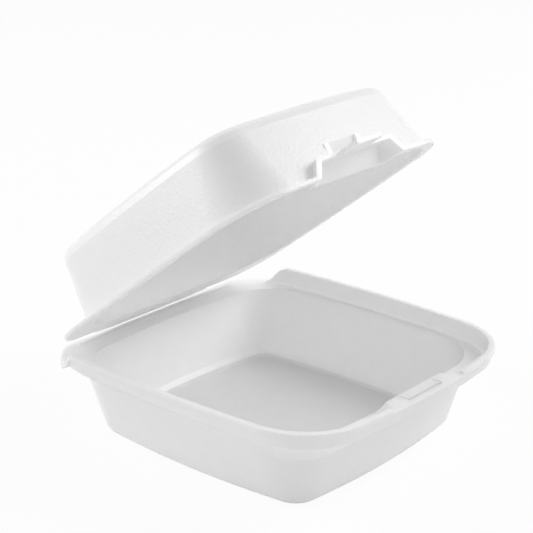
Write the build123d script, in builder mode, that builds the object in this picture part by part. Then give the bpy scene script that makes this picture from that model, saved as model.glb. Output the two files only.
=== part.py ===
"""A hinged foam clamshell container with its lid standing partly open.

Millimetres, +Z up. The origin is the centre of the face that the tray stands on, +X runs along the
hinge and +Y points from the latch to the hinge. The lid is drawn in the same frame as if it were
closed, then turned open about the fold line.
"""
from build123d import *
import os
from math import atan2, cos, pi, sin, tan, radians

# Foam sheet
foam = 2.2  # floor, roof and lip
wall = 2.3  # the sloping walls, measured level
rim_foam = 1.7  # pressed thinner in the rim and the lid's flange

# Tray bowl
foot_half_x = 58.3  # outside, where it stands
foot_half_y = 58.9
foot_bow = 3.9  # each side bulges by this much
foot_radius = 10.0
mouth_half_x = 69.6  # inside, at the ledge
mouth_half_y = 65.0
mouth_bow = 3.6
mouth_radius = 27.0
tray_depth = 33.0  # from the table to the ledge
foot_round = 4.5
floor_round = 5.0

# Rim: ledge, upright band and small outer lip on the front and the two sides
ledge_side = 2.2  # width of the ledge between mouth and band
ledge_front = 11.2
gutter_bow_x = 4.0
gutter_bow_y = 6.0
gutter_radius = 28.0
band_height = 7.6  # from the ledge to the top of the lip
band_lean = 7.0  # degrees
band_round = 2.5  # the soft outer edge under the band
lip_out = 0.8  # how far the lip stands out from the band
flare_depth = 9.0  # the outside widens over this height to meet the band
ramp_length = 12.0  # along Y, where the rim comes down to the hinge strip
ramp_gap = 12.0  # from the foot of the ramp to the fold line

# Hinge
strip = 12.0  # from the tray's mouth to the fold line
corner_past = 4.5  # the rim's back curve would peak this far past the fold line
crease_gap = 0.12  # each half stops this short of the fold line
bead_back = 3.4  # from the fold line to the pressed bead beside it
bead_height = 0.55
bead_width = 3.0
open_angle = 38.8  # as it stands, measured from closed

# Latch: a raised step in the middle of the tray's front, and a tongue on the lid that lies over it
latch_half = 25.0  # at the lip
latch_half_inner = 19.0
latch_rise = 6.6  # above the ledge
latch_back = 9.2  # from the lip's front edge to the step's inner edge
latch_flare = 32.0  # degrees that its ends slope
slot_half = 11.5
slot_width = 0.9
slot_leg = 4.5
slot_inset = 3.6  # from the lip's front edge
slot_depth = 2.2
tongue_half = 9.5
tongue_reach = 3.4  # past the lip's front edge
tongue_radius = 2.5
tongue_gap = 0.4  # between the tongue and the step when closed
step_room = 0.7  # between the lid and the step's ends when closed
recess_half = 9.0  # the hollow pressed into the lid's front over the tongue
recess_rise = 7.5  # above the tongue
recess_depth = 5.0  # at its foot, in from the foot of the lid's wall

# Lid
lid_clear = 0.6  # round the flange, inside the band
edge_room = 0.1  # less than that, the band's inner corner is cut
seat_gap = 0.25  # between the flange and the ledge when closed
lid_height = 35.0  # from the flange's underside to the middle of the roof
flange_side = 5.0  # from the flange's edge to the inside of the wall
flange_front = 5.1
flange_back = 17.5  # from the fold line
lid_foot_bow = 4.0
lid_foot_radius = 26.0
roof_in_side = 8.7  # the walls lean in by this much over the lid's height
roof_in_front = 7.2
roof_in_back = 2.2
roof_bow = 4.0
roof_radius = 14.0
roof_round = 7.0
lid_bead_room = 0.5  # round the tray's bead when closed

# Levels and places worked out from the sizes above
ledge_z = tray_depth
rim_z = ledge_z + band_height
latch_z = ledge_z + latch_rise
tongue_z = latch_z + tongue_gap
flange_z = ledge_z + seat_gap
crease_z = ledge_z + seat_gap / 2
flare_z = ledge_z - rim_foam
gutter_half_x = mouth_half_x + ledge_side
gutter_front = mouth_half_y + ledge_front
crease_y = mouth_half_y + strip
end_y = crease_y - crease_gap
ramp_end = crease_y - ramp_gap
lip_grow = band_height * tan(radians(band_lean)) + rim_foam + lip_out
lip_front = gutter_front + lip_grow
lid_half_x = gutter_half_x - lid_clear - flange_side
lid_front = gutter_front - lid_clear - flange_front
lid_back = crease_y - flange_back
bowl_lean = atan2(mouth_half_x + wall - foot_half_x, tray_depth)
lid_lean = atan2(roof_in_side, lid_height)
beyond = 20.0  # cutting shapes run past the part by this much


def bowed_outline(half_x, front, back, bow_x, bow_y, radius):
    """A rounded rectangle whose sides bulge outwards by their bow."""
    x = half_x - bow_x
    y0 = bow_y - front
    y1 = back - bow_y
    with BuildSketch() as outline:
        with BuildLine():
            ThreePointArc((-x, y0), (0, -front), (x, y0))
            ThreePointArc((x, y0), (half_x, (y0 + y1) / 2), (x, y1))
            ThreePointArc((x, y1), (0, back), (-x, y1))
            ThreePointArc((-x, y1), (-half_x, (y0 + y1) / 2), (-x, y0))
        make_face()
        fillet(outline.vertices(), radius)
    return outline.sketch


def bowl_outline(height, grow):
    """The tray's outside at a height, between its foot and its wider mouth, grown all round."""
    share = height / tray_depth
    half_x = foot_half_x + (mouth_half_x + wall - foot_half_x) * share
    half_y = foot_half_y + (mouth_half_y + wall - foot_half_y) * share
    bow = foot_bow + (mouth_bow - foot_bow) * share
    radius = foot_radius + (mouth_radius + wall - foot_radius) * share
    return bowed_outline(half_x + grow, half_y + grow, half_y + grow, bow, bow, radius + grow)


def rounded_corner(radius, lean, steps):
    """The rounding between a flat face and a leaning wall, as pairs of depth below the face and inset
    from the wall."""
    points = []
    for step in range(steps + 1):
        turn = (pi / 2 - lean) * step / steps
        depth = radius * (1 - cos(turn))
        out = radius * (tan(lean) - 1 / cos(lean) + sin(turn))
        points.append((depth, depth * tan(lean) - out))
    return points


def rim_outline(grow):
    """The gutter's outline, grown all round; its back runs past the fold line, where it is cut off."""
    back = crease_y + corner_past - lip_grow
    return bowed_outline(gutter_half_x + grow, gutter_front + grow, back + grow,
                         gutter_bow_x, gutter_bow_y, gutter_radius + grow)


def lid_outline(height, grow):
    """The inside of the lid at a height above its flange, grown all round."""
    share = height / lid_height
    bow = lid_foot_bow + (roof_bow - lid_foot_bow) * share
    radius = lid_foot_radius + (roof_radius - lid_foot_radius) * share
    return bowed_outline(lid_half_x - roof_in_side * share + grow, lid_front - roof_in_front * share + grow,
                         lid_back - roof_in_back * share + grow, bow, bow, radius + grow)


def latch_outline(grow):
    """The top of the latch step, narrower towards the tray's mouth."""
    front = lip_front + beyond
    back = lip_front - latch_back - grow
    with BuildSketch() as outline:
        with BuildLine():
            Polyline((-latch_half - grow, -front), (latch_half + grow, -front),
                     (latch_half + grow, -lip_front), (latch_half_inner + grow, -back),
                     (-latch_half_inner - grow, -back), (-latch_half - grow, -lip_front), close=True)
        make_face()
    return outline.sketch


def fall_line(drop):
    """The top of the rim seen from the side, from its front down the ramp to the fold line."""
    front = Line((-lip_front - beyond, rim_z - drop), (ramp_end - ramp_length, rim_z - drop))
    fall = Spline(front @ 1, (ramp_end, ledge_z - drop), tangents=((1, 0), (1, 0)))
    return Line(fall @ 1, (end_y, ledge_z - drop))


# The lip and the hinge strip are one sheet that follows the fall line
with BuildPart() as rim_sheet:
    with BuildSketch(Plane.YZ):
        with BuildLine():
            top_end = fall_line(0) @ 1
            under_end = fall_line(foam) @ 1
            Line(top_end, under_end)
            Line((-lip_front - beyond, rim_z), (-lip_front - beyond, rim_z - foam))
        make_face()
    extrude(amount=crease_y, both=True)
    with BuildSketch(Plane.XY.offset(ledge_z - beyond)):
        add(rim_outline(lip_grow))
    extrude(amount=2 * beyond, mode=Mode.INTERSECT)

# Everything above that sheet and behind the fold line is open
with BuildPart() as above_rim:
    with BuildSketch(Plane.YZ):
        with BuildLine():
            last = fall_line(0)
            Polyline(last @ 1, (end_y, -beyond), (crease_y + beyond, -beyond),
                     (crease_y + beyond, rim_z + beyond), (-lip_front - beyond, rim_z + beyond),
                     (-lip_front - beyond, rim_z))
        make_face()
    extrude(amount=crease_y + beyond, both=True)

# The band that stands up from the ledge, filled in
with BuildPart() as band_block:
    with BuildSketch(Plane.XY.offset(flare_z)):
        add(rim_outline(rim_foam))
    extrude(amount=band_height + rim_foam, taper=-band_lean)
    chamfer(band_block.edges().group_by(Axis.Z)[0], band_round)

# The outside widens from the wall to the band
with BuildPart() as flare:
    with BuildSketch(Plane.XY.offset(flare_z - flare_depth)):
        add(bowl_outline(flare_z - flare_depth, -wall / 2))
    with BuildSketch(Plane.XY.offset(flare_z)):
        add(bowed_outline(gutter_half_x + rim_foam - band_round, gutter_front + rim_foam - band_round,
                          mouth_half_y + 2 * wall, gutter_bow_x, gutter_bow_y,
                          gutter_radius + rim_foam - band_round))
    loft(ruled=True)

with BuildPart() as bowl_hollow:
    for depth, inset in rounded_corner(floor_round, bowl_lean, 2):
        with BuildSketch(Plane.XY.offset(foam + depth)):
            add(bowl_outline(foam + depth, -wall - inset))
    with BuildSketch(Plane.XY.offset(rim_z + 1)):
        add(bowl_outline(rim_z + 1, -wall))
    loft(ruled=True)

with BuildPart() as gutter_hollow:
    with BuildSketch(Plane.XY.offset(ledge_z)):
        add(rim_outline(0))
    extrude(amount=band_height + 1, taper=-band_lean)
    chamfer(gutter_hollow.edges().group_by(Axis.Z)[0], lid_clear - edge_room)

# The latch step rises from the ledge to just below the lip
with BuildPart() as latch_step:
    with BuildSketch(Plane.XY.offset(latch_z)):
        add(latch_outline(0))
    extrude(amount=-latch_rise - rim_foam, taper=-latch_flare)
    add(band_block.part, mode=Mode.INTERSECT)

with BuildPart() as tray:
    for depth, inset in rounded_corner(foot_round, bowl_lean, 2):
        with BuildSketch(Plane.XY.offset(depth)):
            add(bowl_outline(depth, -inset))
    with BuildSketch(Plane.XY.offset(tray_depth)):
        add(bowl_outline(tray_depth, 0))
    loft(ruled=True)
    add(band_block.part)
    add(flare.part)
    add(above_rim.part, mode=Mode.SUBTRACT)
    add(rim_sheet.part)
    with BuildSketch(Plane.XZ.offset(lip_front - latch_back)):
        with Locations((0, latch_z + beyond / 2)):
            Rectangle(2 * latch_half, beyond)
    extrude(amount=beyond, mode=Mode.SUBTRACT)
    add(gutter_hollow.part, mode=Mode.SUBTRACT)
    add(latch_step.part)
    add(bowl_hollow.part, mode=Mode.SUBTRACT)
    # a pressed bead beside the fold line
    with BuildSketch(Plane.YZ):
        with BuildLine():
            bead = ThreePointArc((crease_y - bead_back - bead_width / 2, ledge_z),
                                 (crease_y - bead_back, ledge_z + bead_height),
                                 (crease_y - bead_back + bead_width / 2, ledge_z))
            Line(bead @ 1, bead @ 0)
        make_face()
    extrude(amount=mouth_half_x - beyond, both=True)
    # a cut on three sides of a small flap, where the tongue tucks in
    with BuildSketch(Plane.XY.offset(latch_z)):
        with Locations((0, -lip_front + slot_inset)):
            Rectangle(2 * slot_half, slot_width)
        with Locations((-slot_half, -lip_front + slot_inset + slot_leg / 2),
                       (slot_half, -lip_front + slot_inset + slot_leg / 2)):
            Rectangle(slot_width, slot_leg)
    extrude(amount=-slot_depth, mode=Mode.SUBTRACT)

with BuildPart() as lid_block:
    for depth, inset in rounded_corner(roof_round, lid_lean, 3):
        with BuildSketch(Plane.XY.offset(flange_z + lid_height - depth)):
            add(lid_outline(lid_height - depth, wall - inset))
    with BuildSketch(Plane.XY.offset(flange_z)):
        add(lid_outline(0, wall))
    loft(ruled=True)

with BuildPart() as lid_hollow:
    for depth, inset in rounded_corner(roof_round - foam, lid_lean, 2):
        with BuildSketch(Plane.XY.offset(flange_z + lid_height - foam - depth)):
            add(lid_outline(lid_height - foam - depth, -inset))
    with BuildSketch(Plane.XY.offset(flange_z - 1)):
        add(lid_outline(-1, 0))
    loft(ruled=True)


def recess_profile(front, skin, low):
    """The side view of the recess in the lid's front, with its face moved in by a skin."""
    top = tongue_z + recess_rise
    flush = skin - lid_front - wall + roof_in_front * (top - flange_z) / lid_height
    foot = skin - lid_front - wall + recess_depth
    Polyline((front, low), (foot, low), (flush, top), (front, top), close=True)


with BuildPart() as recess_wall:
    with BuildSketch(Plane.YZ):
        with BuildLine():
            recess_profile(-lid_front, wall, tongue_z)
        make_face()
    extrude(amount=recess_half + wall, both=True)

with BuildPart() as recess:
    with BuildSketch(Plane.YZ):
        with BuildLine():
            recess_profile(-lip_front, 0, tongue_z + rim_foam)
        make_face()
    extrude(amount=recess_half, both=True)

# Over the tray's latch step the lid's flange rises by as much
with BuildPart() as raised_flange:
    with BuildSketch(Plane.XY.offset(tongue_z + rim_foam)):
        add(latch_outline(step_room + rim_foam))
    extrude(amount=-latch_rise - tongue_gap - rim_foam, taper=-latch_flare)
    with BuildSketch(Plane.XY.offset(flange_z)):
        add(rim_outline(-lid_clear))
    extrude(amount=beyond, mode=Mode.INTERSECT)

with BuildPart() as lid_closed:
    with BuildSketch(Plane.XY.offset(flange_z)):
        add(rim_outline(-lid_clear))
    extrude(amount=rim_foam)
    with BuildSketch(Plane.YZ):
        with Locations((end_y + beyond, flange_z)):
            Rectangle(2 * beyond, 2 * beyond)
    extrude(amount=crease_y, both=True, mode=Mode.SUBTRACT)
    add(lid_block.part)
    add(lid_hollow.part, mode=Mode.SUBTRACT)
    add(raised_flange.part)
    add(recess_wall.part)
    with BuildSketch(Plane.XY.offset(tongue_z)):
        with Locations((0, -lip_front - tongue_reach)):
            RectangleRounded(2 * tongue_half, 2 * (lip_front + tongue_reach - lid_front), tongue_radius,
                             align=(Align.CENTER, Align.MIN))
    extrude(amount=rim_foam)
    add(recess.part, mode=Mode.SUBTRACT)
    with BuildSketch(Plane.XY.offset(tongue_z)):
        add(latch_outline(step_room))
    extrude(amount=-latch_rise - tongue_gap - 1, taper=-latch_flare, mode=Mode.SUBTRACT)
    # a groove that clears the tray's bead when closed
    with BuildSketch(Plane.YZ):
        with Locations((crease_y - bead_back, ledge_z)):
            RectangleRounded(bead_width + 2 * lid_bead_room, 2 * (bead_height + lid_bead_room),
                             lid_bead_room)
    extrude(amount=crease_y, both=True, mode=Mode.SUBTRACT)

fold = Pos(0, crease_y, crease_z) * Rot(-open_angle, 0, 0) * Pos(0, -crease_y, -crease_z)
with BuildPart() as lid:
    with Locations(fold):
        add(lid_closed.part)

tray.part.label = "tray"
lid.part.label = "lid"
os.makedirs("parts", exist_ok=True)
export_step(tray.part, "parts/tray.step")
export_step(lid.part, "parts/lid.step")
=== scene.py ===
"""A white foam clamshell container on a plain pale floor. Sizes are in metres."""
from math import cos, radians, sin

import bpy
from mathutils import Matrix, Vector

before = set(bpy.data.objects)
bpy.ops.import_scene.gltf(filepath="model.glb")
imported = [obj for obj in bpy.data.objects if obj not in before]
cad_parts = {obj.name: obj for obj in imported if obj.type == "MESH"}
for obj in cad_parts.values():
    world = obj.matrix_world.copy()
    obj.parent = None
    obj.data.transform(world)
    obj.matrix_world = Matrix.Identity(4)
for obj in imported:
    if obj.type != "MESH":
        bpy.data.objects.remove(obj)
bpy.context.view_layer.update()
scene = bpy.context.scene

# Camera, fitted to the photograph's outline
AZIMUTH = -50.46  # degrees; 0 looks along +Y
ELEVATION = 20.82
ROLL = 1.0
DISTANCE = 0.6969
AIM = Vector((0.0089, 0.0195, 0.0585))
PICTURE = 533  # pixels
FOCAL_PIXELS = 1576.2
CENTRE_RIGHT = -7.07  # pixels from the picture's middle to the lens axis
CENTRE_DOWN = 18.63
SENSOR = 36.0  # millimetres

# Foam; each width is that of a pattern's features
FOAM_COLOUR = (0.97, 0.97, 0.97)
MOTTLE_WIDTH = 0.009
MOTTLE = (0.965, 1.03)  # the colour is scaled between these
SHINE_WIDTH = 0.004
ROUGHNESS = (0.3, 0.44)
CELL_WIDTH = 0.0011
GRAIN_WIDTH = 0.0016
CELL_SHARE = 0.35  # height of the cells beside that of the grain
BUMP_DEPTH = 0.0004
BUMP_STRENGTH = 0.4
GLOW_DEPTH = 0.004  # how far light passes into the foam

# Light
LEFT_BOX = dict(azimuth=-150, elevation=20, power=5.5)
RIGHT_BOX = dict(azimuth=58, elevation=34, power=6.5)
LAMP_DISTANCE = 1.2
LAMP_SIZE = 0.6
WORLD_LEVEL = 0.51
WHITE = (1, 1, 1, 1)

# Floor
FLOOR_SIZE = 12
FLOOR_COLOUR = (0.95, 0.95, 0.95, 1)
FLOOR_GLOW = 0.92  # share of the floor that the camera sees as plain white


def node(tree, kind, **inputs):
    """Adds a shader node and sets its named inputs."""
    made = tree.nodes.new(kind)
    for name, value in inputs.items():
        made.inputs[name.replace("_", " ")].default_value = value
    return made


def maths(tree, operation, *terms):
    """The result of a calculation on numbers and on the outputs of other nodes."""
    made = tree.nodes.new("ShaderNodeMath")
    made.operation = operation
    for socket, term in zip(made.inputs, terms):
        if isinstance(term, float):
            socket.default_value = term
        else:
            tree.links.new(term, socket)
    return made.outputs["Value"]


def spread(tree, value, low, high):
    """Turns the range 0 to 1 into low to high."""
    made = node(tree, "ShaderNodeMapRange", To_Min=low, To_Max=high)
    tree.links.new(value, made.inputs["Value"])
    return made.outputs["Result"]


def noise(tree, coordinates, width, detail):
    """A noise pattern whose features are about this wide."""
    made = node(tree, "ShaderNodeTexNoise", Scale=1 / width, Detail=detail, Roughness=0.5)
    tree.links.new(coordinates, made.inputs["Vector"])
    return made.outputs["Fac"]


def seen_directly(tree):
    """1 for rays from the camera, from mirror reflections and through glass, otherwise 0."""
    path = tree.nodes.new("ShaderNodeLightPath")
    seen = maths(tree, "MAXIMUM", path.outputs["Is Camera Ray"], path.outputs["Is Glossy Ray"])
    return maths(tree, "MAXIMUM", seen, path.outputs["Is Transmission Ray"])


def foam_material(name):
    """Pressed polystyrene foam: a closed skin over fine cells, with soft mottling and a satin shine."""
    material = bpy.data.materials.new(name)
    material.use_nodes = True
    tree = material.node_tree
    shader = tree.nodes["Principled BSDF"]
    coordinates = tree.nodes.new("ShaderNodeTexCoord").outputs["Object"]

    mottle = noise(tree, coordinates, MOTTLE_WIDTH, detail=3.0)
    colour = tree.nodes.new("ShaderNodeVectorMath")
    colour.operation = "SCALE"
    colour.inputs[0].default_value = FOAM_COLOUR
    tree.links.new(spread(tree, mottle, *MOTTLE), colour.inputs["Scale"])
    tree.links.new(colour.outputs["Vector"], shader.inputs["Base Color"])

    shine = noise(tree, coordinates, SHINE_WIDTH, detail=2.0)
    tree.links.new(spread(tree, shine, *ROUGHNESS), shader.inputs["Roughness"])

    cells = node(tree, "ShaderNodeTexVoronoi", Scale=1 / CELL_WIDTH)
    cells.feature = "SMOOTH_F1"
    tree.links.new(coordinates, cells.inputs["Vector"])
    grain = noise(tree, coordinates, GRAIN_WIDTH, detail=3.0)
    skin = maths(tree, "MULTIPLY_ADD", cells.outputs["Distance"], CELL_SHARE, grain)
    bump = node(tree, "ShaderNodeBump", Strength=BUMP_STRENGTH, Distance=BUMP_DEPTH)
    tree.links.new(skin, bump.inputs["Height"])
    tree.links.new(bump.outputs["Normal"], shader.inputs["Normal"])

    shader.inputs["IOR"].default_value = 1.5
    shader.inputs["Specular IOR Level"].default_value = 0.6
    shader.inputs["Subsurface Weight"].default_value = 1.0
    shader.inputs["Subsurface Radius"].default_value = (1.0, 1.0, 1.0)
    shader.inputs["Subsurface Scale"].default_value = GLOW_DEPTH
    return material


def floor_material():
    """Plain white to the camera and to reflections, and still darkened by the object's shadow."""
    material = bpy.data.materials.new("floor_white")
    material.use_nodes = True
    tree = material.node_tree
    tree.nodes.remove(tree.nodes["Principled BSDF"])
    matte = node(tree, "ShaderNodeBsdfDiffuse", Color=FLOOR_COLOUR)
    white = node(tree, "ShaderNodeEmission", Color=WHITE, Strength=1.0)
    mix = tree.nodes.new("ShaderNodeMixShader")
    tree.links.new(maths(tree, "MULTIPLY", seen_directly(tree), FLOOR_GLOW), mix.inputs["Fac"])
    tree.links.new(matte.outputs["BSDF"], mix.inputs[1])
    tree.links.new(white.outputs["Emission"], mix.inputs[2])
    tree.links.new(mix.outputs["Shader"], tree.nodes["Material Output"].inputs["Surface"])
    return material


def dress_object():
    """Both halves are pressed from one foam sheet."""
    for name, slot in (("tray", "foam"), ("lid", "foam_lid")):
        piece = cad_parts[name]
        piece.data.materials.clear()
        piece.data.materials.append(foam_material(slot))


def add_floor():
    bpy.ops.mesh.primitive_plane_add(size=FLOOR_SIZE)
    floor = bpy.context.object
    floor.name = "floor"
    floor.data.materials.append(floor_material())


def add_world():
    """White where it is seen, and a dimmer soft light from all sides on the object."""
    world = bpy.data.worlds.new("studio")
    world.use_nodes = True
    tree = world.node_tree
    background = tree.nodes["Background"]
    background.inputs["Color"].default_value = WHITE
    strength = spread(tree, seen_directly(tree), WORLD_LEVEL, 1.0)
    tree.links.new(strength, background.inputs["Strength"])
    scene.world = world


def direction(azimuth, elevation):
    """Points from the object to a camera or lamp that stands there."""
    turn = radians(azimuth)
    rise = radians(elevation)
    return Vector((sin(turn) * cos(rise), -cos(turn) * cos(rise), sin(rise)))


def add_lamp(name, azimuth, elevation, power):
    """A square soft light that faces the object."""
    data = bpy.data.lights.new(name, "AREA")
    data.size = LAMP_SIZE
    data.energy = power
    lamp = bpy.data.objects.new(name, data)
    back = direction(azimuth, elevation)
    lamp.location = AIM + back * LAMP_DISTANCE
    lamp.rotation_euler = back.to_track_quat("Z", "Y").to_euler()
    scene.collection.objects.link(lamp)


def add_camera():
    data = bpy.data.cameras.new("camera")
    data.sensor_width = SENSOR
    data.lens = SENSOR * FOCAL_PIXELS / PICTURE
    data.shift_x = -CENTRE_RIGHT / PICTURE
    data.shift_y = CENTRE_DOWN / PICTURE
    back = direction(AZIMUTH, ELEVATION)
    turn = radians(AZIMUTH)
    right = Vector((cos(turn), sin(turn), 0))
    up = back.cross(right)
    tilt = radians(ROLL)
    across = cos(tilt) * right + sin(tilt) * up
    along = cos(tilt) * up - sin(tilt) * right
    camera = bpy.data.objects.new("camera", data)
    camera.matrix_world = Matrix((across, along, back)).transposed().to_4x4()
    camera.location = AIM + back * DISTANCE
    scene.collection.objects.link(camera)
    scene.camera = camera


dress_object()
add_floor()
add_world()
add_lamp("left_box", **LEFT_BOX)
add_lamp("right_box", **RIGHT_BOX)
add_camera()
scene.view_settings.view_transform = "Standard"
